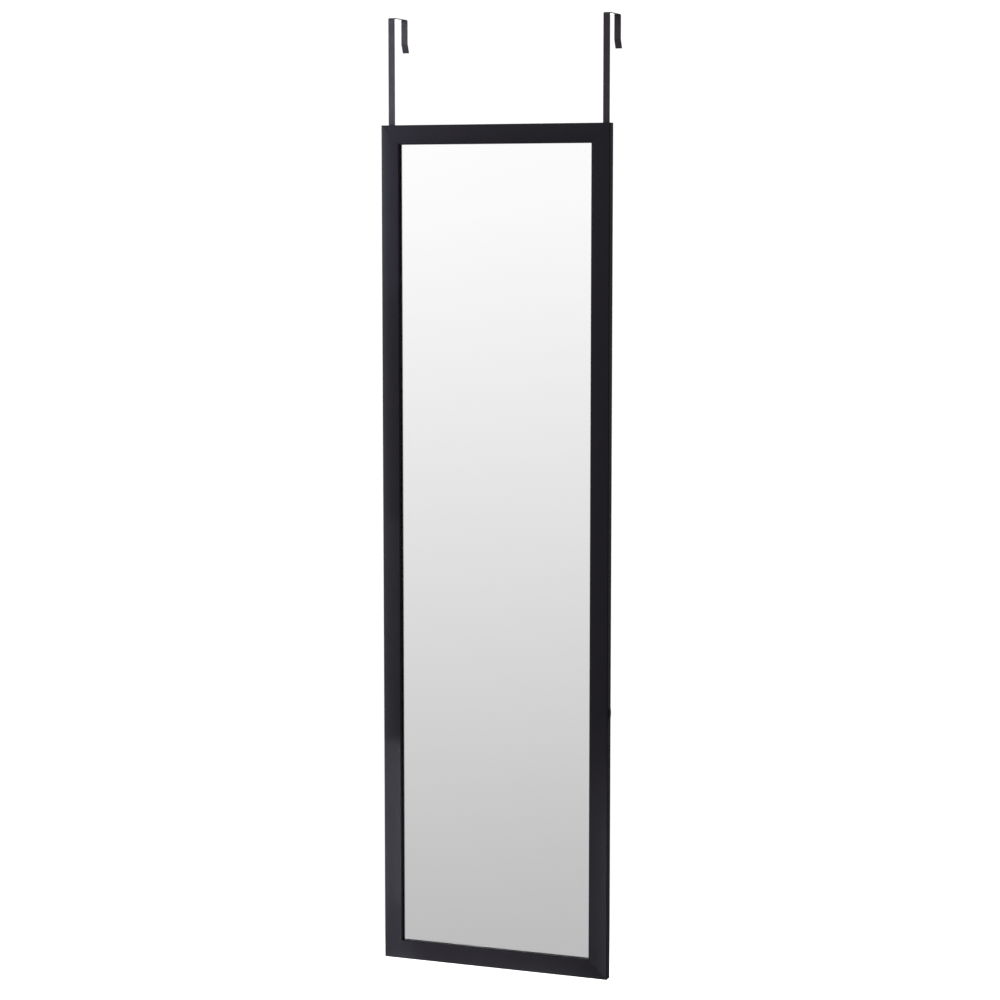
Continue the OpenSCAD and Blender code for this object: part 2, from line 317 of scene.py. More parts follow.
def buildLamp(name, position, target, width, height, spread, colour, watts):
    data = bpy.data.lights.new(name, "AREA")
    data.shape = "RECTANGLE"
    data.size = width
    data.size_y = height
    data.spread = math.radians(spread)
    data.color = linear(colour)[:3]
    data.energy = watts
    lamp = bpy.data.objects.new(name, data)
    lamp.location = position
    lamp.rotation_mode = "QUATERNION"
    lamp.rotation_quaternion = (Vector(target) - Vector(position)).to_track_quat("-Z", "Y")
    bpy.context.scene.collection.objects.link(lamp)
    return lamp


def keepLampsOff(pieces, lampNames):
    # the lamps neither light these pieces nor show in them
    missed = bpy.data.collections.new("piecesTheLampsMiss")
    for piece in pieces:
        missed.objects.link(piece)
    for listed in missed.collection_objects:
        listed.light_linking.link_state = "EXCLUDE"
    for name in lampNames:
        studioLamps[name].light_linking.receiver_collection = missed


buildWorld()
buildFloor()
studioLamps = {name: buildLamp(name, *values) for name, values in lamps.items()}
print("studio is lit")


# Materials: a noise's scale is 1 over its grains' size in mm, or 1 in a space that is stretched to them

waveRepeat = 0.314  # a wave texture of scale 1 repeats after this length


def blackMoulding(name, along):
    # Extruded polystyrene moulding with a black satin skin: a soft sheen, with the faint straight
    # draw lines that the die leaves along each length
    material, tree = newTree(name)
    inMm = patternSpace(tree)
    lineSizes = [0.9, 0.9, 0.9]  # mm between draw lines; the real ones are about 0.2 mm
    lineSizes[along] = 140       # mm that a line runs on
    draw = addNode(tree, "ShaderNodeTexNoise", {"Scale": 1.0, "Detail": 3.0, "Roughness": 0.6},
                   {"Vector": patternSpace(tree, lineSizes)})
    cloud = addNode(tree, "ShaderNodeTexNoise", {"Scale": 1 / 45, "Detail": 2.0}, {"Vector": inMm})
    grain = addNode(tree, "ShaderNodeTexNoise", {"Scale": 1 / 0.5, "Detail": 2.0}, {"Vector": inMm})
    colour = addNode(tree, "ShaderNodeValToRGB", {}, {"Fac": cloud.outputs["Fac"]})
    setStops(colour.color_ramp, [(0.3, linear("1e1b23")), (0.7, linear("211e26"))])
    gloss = addNode(tree, "ShaderNodeMapRange",
                    {"From Min": 0.25, "From Max": 0.75, "To Min": 0.27, "To Max": 0.33},
                    {"Value": draw.outputs["Fac"]})
    skin = addNode(tree, "ShaderNodeBump", {"Strength": 0.35, "Distance": 0.01 * mm},
                   {"Height": draw.outputs["Fac"]})
    fine = addNode(tree, "ShaderNodeBump", {"Strength": 0.25, "Distance": 0.01 * mm},
                   {"Height": grain.outputs["Fac"], "Normal": skin})
    shader = addNode(tree, "ShaderNodeBsdfPrincipled", {"IOR": 1.5, "Specular IOR Level": 0.14},
                     {"Base Color": colour, "Roughness": gloss, "Normal": fine})
    addNode(tree, "ShaderNodeOutputMaterial", {}, {"Surface": shader})
    return material


def floatGlass():
    # Clear float glass: colourless from the front, with the slight waviness of a cheap pane
    material, tree = newTree("floatGlass")
    wave = addNode(tree, "ShaderNodeTexNoise", {"Scale": 1 / 180, "Detail": 1.0},
                   {"Vector": patternSpace(tree)})
    ripple = addNode(tree, "ShaderNodeBump", {"Strength": 0.06, "Distance": 0.1 * mm},
                     {"Height": wave.outputs["Fac"]})
    shader = addNode(tree, "ShaderNodeBsdfPrincipled",
                     {"Base Color": linear("fefffe"), "Roughness": 0.0, "IOR": 1.52,
                      "Transmission Weight": 1.0},
                     {"Normal": ripple})
    addNode(tree, "ShaderNodeOutputMaterial", {}, {"Surface": shader})
    return material


def silverCoat():
    # Chemically deposited silver, seen through the glass: a clean mirror
    material, tree = newTree("silverCoat")
    cloud = addNode(tree, "ShaderNodeTexNoise", {"Scale": 1 / 300, "Detail": 1.0},
                    {"Vector": patternSpace(tree)})
    tone = addNode(tree, "ShaderNodeValToRGB", {}, {"Fac": cloud.outputs["Fac"]})
    setStops(tone.color_ramp, [(0.3, linear("fcfafc")), (0.7, linear("fdfbfd"))])
    shader = addNode(tree, "ShaderNodeBsdfPrincipled", {"Metallic": 1.0, "Roughness": 0.0},
                     {"Base Color": tone})
    addNode(tree, "ShaderNodeOutputMaterial", {}, {"Surface": shader})
    return material


def backingPaint():
    # Grey lacquer over the silver: dull, with faint curtain-coater streaks down the sheet
    material, tree = newTree("backingPaint")
    streakSizes = (6, 6, 200)  # mm between two streaks, and mm that one runs on
    coat = addNode(tree, "ShaderNodeTexNoise", {"Scale": 1.0, "Detail": 2.0},
                   {"Vector": patternSpace(tree, streakSizes)})
    tone = addNode(tree, "ShaderNodeValToRGB", {}, {"Fac": coat.outputs["Fac"]})
    setStops(tone.color_ramp, [(0.3, linear("77797a")), (0.7, linear("858788"))])
    shader = addNode(tree, "ShaderNodeBsdfPrincipled", {"Roughness": 0.55}, {"Base Color": tone})
    addNode(tree, "ShaderNodeOutputMaterial", {}, {"Surface": shader})
    return material


def corrugatedCard():
    # Brown kraft board: a matt face with fibre flecks and the shadow of the flutes under the liner
    material, tree = newTree("corrugatedCard")
    inMm = patternSpace(tree)
    fibre = addNode(tree, "ShaderNodeTexNoise", {"Scale": 1 / 1.5, "Detail": 4.0}, {"Vector": inMm})
    flutePitch = 6.5  # mm
    flutes = addNode(tree, "ShaderNodeTexWave",
                     {"bands_direction": "X", "Scale": waveRepeat / flutePitch, "Distortion": 0.3},
                     {"Vector": inMm})
    tone = addNode(tree, "ShaderNodeValToRGB", {}, {"Fac": fibre.outputs["Fac"]})
    setStops(tone.color_ramp, [(0.3, linear("9c7850")), (0.7, linear("b08a60"))])
    liner = addNode(tree, "ShaderNodeBump", {"Strength": 0.5, "Distance": 0.2 * mm},
                    {"Height": flutes.outputs["Fac"]})
    shader = addNode(tree, "ShaderNodeBsdfPrincipled", {"Roughness": 0.85},
                     {"Base Color": tone, "Normal": liner})
    addNode(tree, "ShaderNodeOutputMaterial", {}, {"Surface": shader})
    return material


def hardboard():
    # Pressed wood fibre board, rough side out: an even brown of short fibres that lie every way, a few
    # dark bundles among them, and the imprint of the press screen
    material, tree = newTree("pressedHardboard")
    inMm = patternSpace(tree)
    fibre = addNode(tree, "ShaderNodeTexNoise",
                    {"Scale": 1 / 1.6, "Detail": 7.0, "Roughness": 0.7, "Distortion": 0.8},
                    {"Vector": inMm})
    tone = addNode(tree, "ShaderNodeValToRGB", {}, {"Fac": fibre.outputs["Fac"]})
    setStops(tone.color_ramp, [(0.3, linear("5a412b")), (0.5, linear("6f5037")), (0.7, linear("836145"))])
    clump = addNode(tree, "ShaderNodeTexNoise",
                    {"Scale": 1 / 3.5, "Detail": 6.0, "Roughness": 0.68, "Distortion": 1.2},
                    {"Vector": inMm})
    darkBundles = addNode(tree, "ShaderNodeMapRange",
                          {"From Min": 0.6, "From Max": 0.72, "To Min": 1.0, "To Max": 0.62},
                          {"Value": clump.outputs["Fac"]})
    cloud = addNode(tree, "ShaderNodeTexNoise", {"Scale": 1 / 90, "Detail": 3.0}, {"Vector": inMm})
    shade = addNode(tree, "ShaderNodeMapRange",
                    {"From Min": 0.3, "From Max": 0.7, "To Min": 0.9, "To Max": 1.08},
                    {"Value": cloud.outputs["Fac"]})
    both = addNode(tree, "ShaderNodeMath", {"operation": "MULTIPLY"}, {0: darkBundles, 1: shade})
    mixed = addNode(tree, "ShaderNodeMix", {"data_type": "RGBA", "blend_type": "MULTIPLY", 0: 1.0},
                    {6: tone, 7: both})
    screenPitch = 2.4  # mm between the wires of the press screen; the real one is about 1.6 mm
    screenX = addNode(tree, "ShaderNodeTexWave",
                      {"bands_direction": "X", "Scale": waveRepeat / screenPitch}, {"Vector": inMm})
    screenZ = addNode(tree, "ShaderNodeTexWave",
                      {"bands_direction": "Z", "Scale": waveRepeat / screenPitch}, {"Vector": inMm})
    wires = addNode(tree, "ShaderNodeMath", {"operation": "MULTIPLY"},
                    {0: screenX.outputs["Fac"], 1: screenZ.outputs["Fac"]})
    imprint = addNode(tree, "ShaderNodeBump", {"Strength": 0.5, "Distance": 0.15 * mm}, {"Height": wires})
    nap = addNode(tree, "ShaderNodeBump", {"Strength": 0.6, "Distance": 0.15 * mm},
                  {"Height": fibre.outputs["Fac"], "Normal": imprint})
    shader = addNode(tree, "ShaderNodeBsdfPrincipled", {"Roughness": 0.78, "Specular IOR Level": 0.35},
                     {"Base Color": mixed.outputs[2], "Normal": nap})
    addNode(tree, "ShaderNodeOutputMaterial", {}, {"Surface": shader})
    return material


def zincPlate():
    # Bright zinc plated steel: a cool grey metal, a little cloudy, with faint handling marks
    material, tree = newTree("zincPlate")
    inMm = patternSpace(tree)
    cloud = addNode(tree, "ShaderNodeTexNoise", {"Scale": 1 / 2.5, "Detail": 3.0}, {"Vector": inMm})
    tone = addNode(tree, "ShaderNodeValToRGB", {}, {"Fac": cloud.outputs["Fac"]})
    setStops(tone.color_ramp, [(0.3, linear("a9adb3")), (0.55, linear("c3c5c8")), (0.75, linear("cfc9b8"))])
    gloss = addNode(tree, "ShaderNodeMapRange",
                    {"From Min": 0.3, "From Max": 0.7, "To Min": 0.24, "To Max": 0.42},
                    {"Value": cloud.outputs["Fac"]})
    marks = addNode(tree, "ShaderNodeTexNoise", {"Scale": 1 / 0.4, "Detail": 2.0}, {"Vector": inMm})
    dents = addNode(tree, "ShaderNodeBump", {"Strength": 0.3, "Distance": 0.01 * mm},
                    {"Height": marks.outputs["Fac"]})
    shader = addNode(tree, "ShaderNodeBsdfPrincipled", {"Metallic": 1.0},
                     {"Base Color": tone, "Roughness": gloss, "Normal": dents})
    addNode(tree, "ShaderNodeOutputMaterial", {}, {"Surface": shader})
    return material


def powderCoat():
    # Satin black powder coat on strip steel: softer and greyer than the moulding, with orange peel
    material, tree = newTree("powderCoat")
    inMm = patternSpace(tree)
    peel = addNode(tree, "ShaderNodeTexNoise", {"Scale": 1 / 1.1, "Detail": 2.0, "Roughness": 0.4},
                   {"Vector": inMm})
    cloud = addNode(tree, "ShaderNodeTexNoise", {"Scale": 1 / 14, "Detail": 2.0}, {"Vector": inMm})
    colour = addNode(tree, "ShaderNodeValToRGB", {}, {"Fac": cloud.outputs["Fac"]})
    setStops(colour.color_ramp, [(0.3, linear("3c353d")), (0.7, linear("423a43"))])
    gloss = addNode(tree, "ShaderNodeMapRange",
                    {"From Min": 0.3, "From Max": 0.7, "To Min": 0.26, "To Max": 0.34},
                    {"Value": peel.outputs["Fac"]})
    skin = addNode(tree, "ShaderNodeBump", {"Strength": 0.4, "Distance": 0.02 * mm},
                   {"Height": peel.outputs["Fac"]})
    shader = addNode(tree, "ShaderNodeBsdfPrincipled", {"IOR": 1.5, "Specular IOR Level": 0.19},
                     {"Base Color": colour, "Roughness": gloss, "Normal": skin})
    addNode(tree, "ShaderNodeOutputMaterial", {}, {"Surface": shader})
    return material


def blackRubber():
    # Moulded black rubber: dull and slightly dusty
    material, tree = newTree("blackRubber")
    dust = addNode(tree, "ShaderNodeTexNoise", {"Scale": 1 / 1.8, "Detail": 4.0},
                   {"Vector": patternSpace(tree)})
    tone = addNode(tree, "ShaderNodeValToRGB", {}, {"Fac": dust.outputs["Fac"]})
    setStops(tone.color_ramp, [(0.35, linear("1c1c1c")), (0.7, linear("2b2a29"))])
    skin = addNode(tree, "ShaderNodeBump", {"Strength": 0.4, "Distance": 0.04 * mm},
                   {"Height": dust.outputs["Fac"]})
    shader = addNode(tree, "ShaderNodeBsdfPrincipled",
                     {"Roughness": 0.75, "IOR": 1.52, "Specular IOR Level": 0.35},
                     {"Base Color": tone, "Normal": skin})
    addNode(tree, "ShaderNodeOutputMaterial", {}, {"Surface": shader})
    return material


def mouldedPlug():
    # Injection moulded black polyethylene: deep black with a waxy, even skin
    material, tree = newTree("mouldedPlug")
    grain = addNode(tree, "ShaderNodeTexNoise", {"Scale": 1 / 0.6, "Detail": 2.0},
                    {"Vector": patternSpace(tree)})
    tone = addNode(tree, "ShaderNodeValToRGB", {}, {"Fac": grain.outputs["Fac"]})
    setStops(tone.color_ramp, [(0.3, linear("0b0b0b")), (0.7, linear("0f0f10"))])
    skin = addNode(tree, "ShaderNodeBump", {"Strength": 0.25, "Distance": 0.01 * mm},
                   {"Height": grain.outputs["Fac"]})
    shader = addNode(tree, "ShaderNodeBsdfPrincipled",
                     {"Roughness": 0.42, "IOR": 1.51, "Specular IOR Level": 0.25},
                     {"Base Color": tone, "Normal": skin})
    addNode(tree, "ShaderNodeOutputMaterial", {}, {"Surface": shader})
    return material


uprightSkin = blackMoulding("uprightMoulding", 2)
levelSkin = blackMoulding("levelMoulding", 0)
glassSkin = floatGlass()
silverSkin = silverCoat()
steelSkin = zincPlate()
hookSkin = powderCoat()
rubberSkin = blackRubber()
plugSkin = mouldedPlug()
print("materials are mixed")


# Frame: one profile, swept and mitred four times

moulding = {
    "faceWidth": 29.0,
    "depth": 15.0,
    "crown": 0.6,        # fall of the face from its middle to its edges
    "edgeRadius": 1.5,   # outer front edge
    "lipBevel": 1.0,
    "lipDepth": 5.0,     # face down to the glass
    "rabbetWidth": 7.0,
    "arris": 0.3,        # softening of the sawn and moulded corners
    "mitreArris": 0.1,   # leaves a hairline where two lengths meet
    "nailSlit": 1.0,     # how far the slits of the corner nails are cut past the back
    "edgeSteps": 8,
    "crownSteps": 26,
}

stileLow, stileHigh = boxInMm("frame_stile_left")
frameLeft = stileLow.x
frameBottom = stileLow.z
frameTop = stileHigh.z
frameRear = stileHigh.y
frameWidth = -2 * frameLeft
frameHeight = frameTop - frameBottom


def mouldingFace(bm):
    # the cross-section: x inwards from the outer edge, y = 0 at the back and -depth at the face
    m = moulding
    middle = m["faceWidth"] / 2
    crownRadius = (middle ** 2 + m["crown"] ** 2) / (2 * m["crown"])
    crownCentre = Vector((middle, crownRadius - m["depth"], 0))
    edgeDrop = math.sqrt((crownRadius - m["edgeRadius"]) ** 2 - (middle - m["edgeRadius"]) ** 2)
    edgeCentre = Vector((m["edgeRadius"], crownCentre.y - edgeDrop, 0))
    meetAngle = math.asin((middle - m["edgeRadius"]) / (crownRadius - m["edgeRadius"]))
    lipAngle = math.asin((middle - m["lipBevel"]) / crownRadius)
    start = bm.verts.new((0, edgeCentre.y, 0))
    edgeArc = bmesh.ops.spin(bm, geom=[start], cent=edgeCentre, axis=(0, 0, 1),
                             angle=quarterTurn - meetAngle, steps=m["edgeSteps"])
    crownArc = bmesh.ops.spin(bm, geom=vertsOf(edgeArc["geom_last"]), cent=crownCentre, axis=(0, 0, 1),
                              angle=meetAngle + lipAngle, steps=m["crownSteps"])
    last = vertsOf(crownArc["geom_last"])[0]
    lipFront = m["crown"] - m["depth"] + m["lipBevel"]
    rabbetFloor = m["lipDepth"] - m["depth"]
    rabbetWall = m["faceWidth"] - m["rabbetWidth"]
    corners = [(m["faceWidth"], lipFront), (m["faceWidth"], rabbetFloor), (rabbetWall, rabbetFloor),
               (rabbetWall, 0), (0, 0)]
    cornerVerts = []
    for x, y in corners:
        corner = bm.verts.new((x, y, 0))
        bm.edges.new((last, corner))
        cornerVerts.append(corner)
        last = corner
    bm.edges.new((last, start))
    bmesh.ops.contextual_create(bm, geom=bm.edges)
    rearCorners = [cornerVerts[1], cornerVerts[3], cornerVerts[4]]  # the lip's rear and the back's two
    bmesh.ops.bevel(bm, geom=rearCorners, offset=m["arris"], offset_type="OFFSET", segments=3, profile=0.5,
                    affect="VERTICES", material=-1)


def mitredLength(length):
    # the profile extruded along +Z, with both ends cut at 45 degrees
    bm = bmesh.new()
    mouldingFace(bm)
    swept = bmesh.ops.extrude_face_region(bm, geom=list(bm.faces))["geom"]
    bmesh.ops.translate(bm, vec=(0, 0, length), verts=vertsOf(swept))
    for height, outwards in ((0, -1), (length, 1)):
        cut = bmesh.ops.bisect_plane(bm, geom=wholeOf(bm), dist=tiny, plane_co=(0, 0, height),
                                     plane_no=(1, 0, outwards), clear_outer=True)
        rim = edgesOf(cut["geom_cut"])
        bmesh.ops.contextual_create(bm, geom=rim)
        bevelEdges(bm, rim, moulding["mitreArris"], 1)
    return bm


def nailSlits():
    # the corner nails, drawn out through the back of the frame
    bm = nodeCopy("corner_v_nails")
    sunk = max(v.co.y for v in bm.verts)
    heads = [v for v in bm.verts if v.co.y > sunk - tiny]
    bmesh.ops.translate(bm, vec=(0, frameRear + moulding["nailSlit"] - sunk, 0), verts=heads)
    return meshInMetres("nailSlits", bm)


def buildFrame():
    leftPlace = Matrix.Translation((frameLeft, frameRear, frameBottom))
    topPlace = Matrix.Translation((frameLeft, frameRear, frameTop)) @ Matrix.Rotation(quarterTurn, 4, "Y")
    bottomPlace = Matrix.Translation((-frameLeft, frameRear, frameBottom))
    bottomPlace = bottomPlace @ Matrix.Rotation(-quarterTurn, 4, "Y")
    members = [
        ("leftStile", "frame_stile_left", frameHeight, uprightSkin, leftPlace),
        ("rightStile", "frame_stile_right", frameHeight, uprightSkin, toTheRight @ leftPlace),
        ("topRail", "frame_rail_top", frameWidth, levelSkin, topPlace),
        ("bottomRail", "frame_rail_bottom", frameWidth, levelSkin, bottomPlace),
    ]
    slits = nailSlits()
    built = {}
    for name, nodeName, length, skin, place in members:
        built[name] = makePiece(name, mitredLength(length), [skin], "mirror", nodeName,
                                place, slits)
    bpy.data.meshes.remove(slits)
    return built


frameMembers = buildFrame()
print("frame is built")


# Mirror: one pane whose front and edges are glass and whose back is silvered

pane = {
    "arris": 0.5,     # ground edge of the glass
    "coatGap": 0.02,  # keeps the silvered face off the paint behind it
}


def buildPane():
    low, high = boxInMm("mirror_glass")
    high.y -= pane["coatGap"]
    bm = bmesh.new()
    bmesh.ops.create_cube(bm, size=1.0)
    bmesh.ops.scale(bm, vec=high - low, verts=bm.verts)
    bmesh.ops.translate(bm, vec=(low + high) / 2, verts=bm.verts)
    bevelEdges(bm, list(bm.edges), pane["arris"], 1)
    for face in bm.faces:
        face.material_index = 1 if face.normal.y > 0.9 else 0  # only the rear face is silvered
    return makePiece("mirrorPane", bm, [glassSkin, silverSkin], "mirror", "mirror_glass")


mirrorPane = buildPane()
# the mirror shows the room and none of the lamps
keepLampsOff([mirrorPane], lamps)
# the bottom rail has lamps of its own, which come from below: the others would make its lip flare in the
# glass, and its own would tone the ends of the stiles twice
stiles = [frameMembers["leftStile"], frameMembers["rightStile"]]
keepLampsOff([mirrorPane, frameMembers["bottomRail"]], ["lowerLeft", "lowerLong", "lowerFront"])
keepLampsOff([mirrorPane] + stiles, ["lowerRail", "railCorner", "lipLine"])
print("mirror is in")


# Hooks: strip steel with a slotted tail, folded over the door

hook = {
    "thickness": 1.5,
    "bendRadius": 1.5,   # inside of each fold
    "doorGap": 48.0,     # between the two legs
    "rearLeg": 49.5,     # height of the leg behind the door
    "toeLength": 14.0,
    "toeAngle": 24.0,
    "slotWidth": 4.3,
    "slotToEnd": 13.85,  # from the end of the strap to the end of the slot
    "slotToFold": 16.0,  # plain strap above the slot, still flat sheet
    "edgeRound": 0.3,
    "roundSteps": 32,
    "foldSteps": 8,
}


def runOn(bm, edges, way):
    grown = bmesh.ops.extrude_edge_only(bm, edges=edges)["geom"]
    bmesh.ops.translate(bm, vec=way, verts=vertsOf(grown))
    return edgesOf(grown)


def foldOn(bm, edges, centre, degrees):
    verts = list({v for e in edges for v in e.verts})
    folded = bmesh.ops.spin(bm, geom=edges + verts, cent=centre, axis=(1, 0, 0),
                            angle=math.radians(degrees), steps=hook["foldSteps"])
    return edgesOf(folded["geom_last"])


def longLoop(bm, radius, centreX, y, bottom, top, flatTop):
    # a circle in the XZ plane, pulled out to a long hole or to a strap with one round end
    steps = hook["roundSteps"]
    halfStep = math.pi / steps
    place = Matrix.Translation((centreX, y, bottom)) @ Matrix.Rotation(quarterTurn, 4, "X")
    place = place @ Matrix.Rotation(halfStep, 4, "Z")
    loop = bmesh.ops.create_circle(bm, segments=steps, radius=radius / math.cos(halfStep),
                                   matrix=place)["verts"]
    upper = [v for v in loop if v.co.z > bottom]
    if flatTop:
        bmesh.ops.scale(bm, vec=(1, 1, 0), space=Matrix.Translation((0, 0, -bottom)), verts=upper)
    bmesh.ops.translate(bm, vec=(0, 0, top - bottom), verts=upper)
    return list({e for v in loop for e in v.link_edges})


def buildHook(side):
    h = hook
    nodeName = "hook_" + side
    low, high = boxInMm(nodeName)
    width = high.x - low.x
    middle = (low.x + high.x) / 2
    sheet = low.y + h["thickness"]             # the side of the strap that faces the door
    bm = bmesh.new()
    screwsLow, screwsHigh = boxInMm("hook_screws_" + side)
    slotRadius = h["slotWidth"] / 2
    slotBottom = low.z + h["slotToEnd"] + slotRadius
    slotTop = screwsLow.z + screwsHigh.z - slotBottom    # the slot is centred on the two screws
    flatTop = slotTop + h["slotToFold"]
    outer = longLoop(bm, width / 2, middle, sheet, low.z + width / 2, flatTop, True)
    slot = longLoop(bm, slotRadius, middle, sheet, slotBottom, slotTop, False)
    bmesh.ops.bridge_loops(bm, edges=outer + slot)
    strip = [e for e in outer if all(abs(v.co.z - flatTop) < tiny for v in e.verts)]
    radius = h["bendRadius"]
    rearLegAt = sheet + h["doorGap"]
    toeAngle = math.radians(h["toeAngle"])
    outside = radius + h["thickness"]
    toeHeight = h["toeLength"] * math.cos(toeAngle) + outside * math.sin(toeAngle)
    toeTop = h["thickness"] - h["rearLeg"] + toeHeight
    strip = runOn(bm, strip, (0, 0, -radius - flatTop))
    strip = foldOn(bm, strip, (middle, sheet + radius, -radius), -90)
    strip = runOn(bm, strip, (0, h["doorGap"] - 2 * radius, 0))
    strip = foldOn(bm, strip, (middle, rearLegAt - radius, -radius), -90)
    strip = runOn(bm, strip, (0, 0, toeTop + radius))
    strip = foldOn(bm, strip, (middle, rearLegAt + outside, toeTop), h["toeAngle"])
    toe = Vector((0, math.sin(toeAngle), -math.cos(toeAngle))) * h["toeLength"]
    runOn(bm, strip, toe)
    bmesh.ops.recalc_face_normals(bm, faces=bm.faces)
    bm.faces.ensure_lookup_table()
    if bm.faces[0].normal.y < 0:  # the wall grows away from the normals, which face the door
        bmesh.ops.reverse_faces(bm, faces=bm.faces)
    bmesh.ops.solidify(bm, geom=list(bm.faces), thickness=h["thickness"])
    bevelEdges(bm, sharpEdges(bm, 60), h["edgeRound"], 2)
    bmesh.ops.dissolve_degenerate(bm, dist=tiny, edges=bm.edges)
    makePiece(side + "Hook", bm, [hookSkin], "hooks", nodeName)


for side in ("left", "right"):
    buildHook(side)
print("hooks are folded")


# Hook screws

screw = {
    "shank": 3.5,
    "core": 2.5,
    "pitch": 1.4,
    "length": 13.0,
    "tip": 3.0,
    "head": 7.4,
    "headHeight": 1.9,
    "headArris": 0.2,    # lower edge of the head
    "dome": 1.15,        # rounding of the head's rim
    "flatRim": 0.3,      # flat ring between the dome and the face that the cross is cut in
    "recessLength": 4.2,
    "recessWidth": 1.1,
    "recessDepth": 1.1,
    "recessTaper": 0.6,  # floor of the cross against its mouth
    "spinSteps": 32,
    "domeSteps": 6,
}


def spinProfile(bm, points, steps):
    # (radius, height) points turned round Z
    verts = [bm.verts.new((r, 0, z)) for r, z in points]
    edges = [bm.edges.new(pair) for pair in zip(verts, verts[1:])]
    bmesh.ops.spin(bm, geom=verts + edges, cent=(0, 0, 0), axis=(0, 0, 1), angle=2 * math.pi, steps=steps,
                   use_merge=True)
    bmesh.ops.remove_doubles(bm, verts=bm.verts, dist=tiny)


def ringEdges(bm, radius, height):
    def onRing(v):
        return abs(v.co.z - height) < tiny and abs(v.co.xy.length - radius) < tiny
    return [e for e in bm.edges if onRing(e.verts[0]) and onRing(e.verts[1])]


def cutCross(bm, mouth):
    # a tapered cross sunk into the head, whose top is still open inside the edges of mouth
    s = screw
    half = s["recessLength"] / 2
    halfArm = s["recessWidth"] / 2
    floor = Matrix.Translation((0, 0, s["headHeight"] - s["recessDepth"]))
    grid = bmesh.ops.create_grid(bm, x_segments=3, y_segments=3, size=half, matrix=floor)["verts"]
    for v in grid:
        for axis in (0, 1):
            if abs(v.co[axis]) < half - tiny:
                v.co[axis] = math.copysign(halfArm, v.co[axis])
    cells = list({f for v in grid for f in v.link_faces})
    corners = [f for f in cells if min(abs(c) for c in f.calc_center_median().xy) > halfArm]
    bmesh.ops.delete(bm, geom=corners, context="FACES")
    cells = [f for f in cells if f.is_valid]
    lone = [v for v in grid if v.is_valid and not v.link_faces]
    bmesh.ops.delete(bm, geom=lone, context="VERTS")
    grid = [v for v in grid if v.is_valid]
    outline = list({e for f in cells for e in f.edges if len(e.link_faces) == 1})
    bmesh.ops.scale(bm, vec=(s["recessTaper"], s["recessTaper"], 1), verts=grid)
    walls = bmesh.ops.extrude_edge_only(bm, edges=outline)["geom"]
    bmesh.ops.translate(bm, vec=(0, 0, s["recessDepth"]), verts=vertsOf(walls))
    bmesh.ops.scale(bm, vec=(1 / s["recessTaper"], 1 / s["recessTaper"], 1), verts=vertsOf(walls))
    top = [e for e in edgesOf(walls) if all(abs(v.co.z - s["headHeight"]) < tiny for v in e.verts)]
    bmesh.ops.triangle_fill(bm, use_beauty=True, edges=top + mouth, normal=(0, 0, 1))


def addScrew(bm):
    # head up, with the underside of the head at z = 0
    s = screw
    points = [(0, -s["length"]), (s["core"] / 2, s["tip"] - s["length"])]
    while points[-1][1] + s["pitch"] < -s["pitch"]:
        valley = points[-1][1]
        points += [(s["shank"] / 2, valley + s["pitch"] / 2), (s["core"] / 2, valley + s["pitch"])]
    headRadius = s["head"] / 2
    flat = headRadius - s["dome"] - s["flatRim"]
    points += [(s["core"] / 2, 0), (headRadius, 0), (headRadius, s["headHeight"]), (flat, s["headHeight"])]
    spinProfile(bm, points, s["spinSteps"])
    rim = ringEdges(bm, headRadius, s["headHeight"])
    mouth = ringEdges(bm, flat, s["headHeight"])
    bevelEdges(bm, rim, s["dome"], s["domeSteps"])
    bevelEdges(bm, ringEdges(bm, headRadius, 0), s["headArris"], 2)
    cutCross(bm, mouth)


# Washers under the screws' heads

washer = {
    "bore": 4.1,
    "diameter": 9.0,
    "thickness": 0.8,
    "arris": 0.15,
    "spinSteps": 40,
}


def addWasher(bm):
    w = washer
    inner = w["bore"] / 2
    outer = w["diameter"] / 2
    section = [(inner, 0), (outer, 0), (outer, w["thickness"]), (inner, w["thickness"]), (inner, 0)]
    spinProfile(bm, section, w["spinSteps"])
    bevelEdges(bm, sharpEdges(bm, 60), w["arris"], 2)


def addLower(bm, pitch):
    # a copy along +Y, which points down once the piece is turned to the door
    copied = bmesh.ops.duplicate(bm, geom=wholeOf(bm))["geom"]
    bmesh.ops.translate(bm, vec=(0, pitch, 0), verts=vertsOf(copied))


def buildFasteners(side):
    # two screws and two washers, modelled with their heads up and then turned to the door
    low, high = boxInMm("hook_screws_" + side)
    middle = (low.x + high.x) / 2
    headRadius = screw["head"] / 2
    upper = high.z - headRadius
    pitch = upper - low.z - headRadius
    underHead = high.y - screw["headHeight"]
    bm = bmesh.new()
    addScrew(bm)
    bmesh.ops.rotate(bm, cent=(0, 0, 0), matrix=Matrix.Rotation(quarterTurn / 2, 3, "Z"), verts=bm.verts)
    addLower(bm, pitch)
    makePiece(side + "Screws", bm, [steelSkin], "mirror", "hook_screws_" + side,
              Matrix.Translation((middle, underHead, upper)) @ toTheDoor)
    bm = bmesh.new()
    addWasher(bm)
    addLower(bm, pitch)
    makePiece(side + "Washers", bm, [steelSkin], "mirror", "hook_washers_" + side,
              Matrix.Translation((middle, underHead - washer["thickness"], upper)) @ toTheDoor)


for side in ("left", "right"):
    buildFasteners(side)
print("screws and washers are in")


# Door bumpers

bumper = {
    "bevel": 1.0,
    "softening": 0.35,
    "spinSteps": 48,
}


